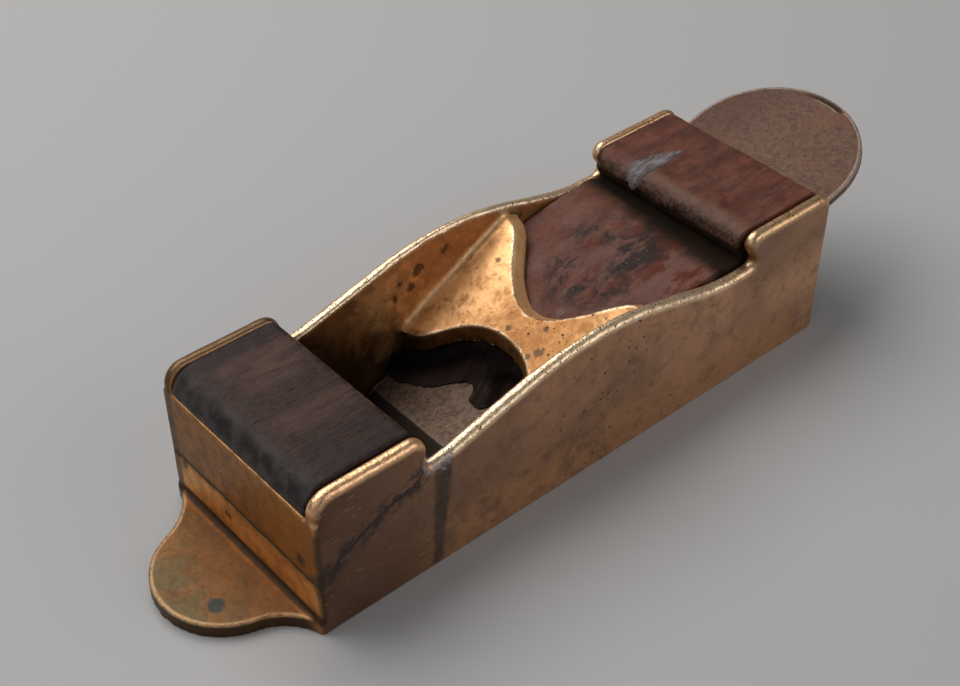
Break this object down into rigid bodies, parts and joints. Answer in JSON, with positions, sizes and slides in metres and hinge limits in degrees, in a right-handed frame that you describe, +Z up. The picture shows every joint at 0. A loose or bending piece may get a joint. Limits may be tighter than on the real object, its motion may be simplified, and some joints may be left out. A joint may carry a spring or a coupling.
{
  "type": "hand plane",
  "caption": "Low-angle infill hand plane: cast metal body with a bridge, dark wood infills, a round-ended bevel-up iron and a wedge whose rear forms a head.",
  "frame": {"origin": "on the sole, under the middle of the overall box", "axes": "+X from toe to heel along the sole, +Z up, +Y across the plane"},
  "size_m": [0.2508, 0.066, 0.0512],
  "materials": {
    "gunmetal": "aged cast gunmetal, worn bright on the rims",
    "dark_rosewood": "worn polish, near black",
    "red_rosewood": "worn polish, handled",
    "rusted_steel": "fine brown rust",
    "screw_steel": "filed flush, dull"
  },
  "bodies": {
    "body": {"body_casting": "gunmetal", "toe_infill": "dark_rosewood", "bed_infill": "dark_rosewood", "toe_infill_screws": "screw_steel", "bed_infill_screws": "screw_steel"},
    "iron": {"iron": "rusted_steel"},
    "wedge": {"wedge": "red_rosewood"}
  },
  "joints": [
    {"name": "iron_slide", "type": "slide", "parent": "body", "child": "iron", "axis": [0.9603, 0, 0.279], "range_m": [-0.0015, 0.06]},
    {"name": "wedge_slide", "type": "slide", "parent": "body", "child": "wedge", "axis": [0.9603, 0, 0.279], "range_m": [0, 0.05]}
  ]
}
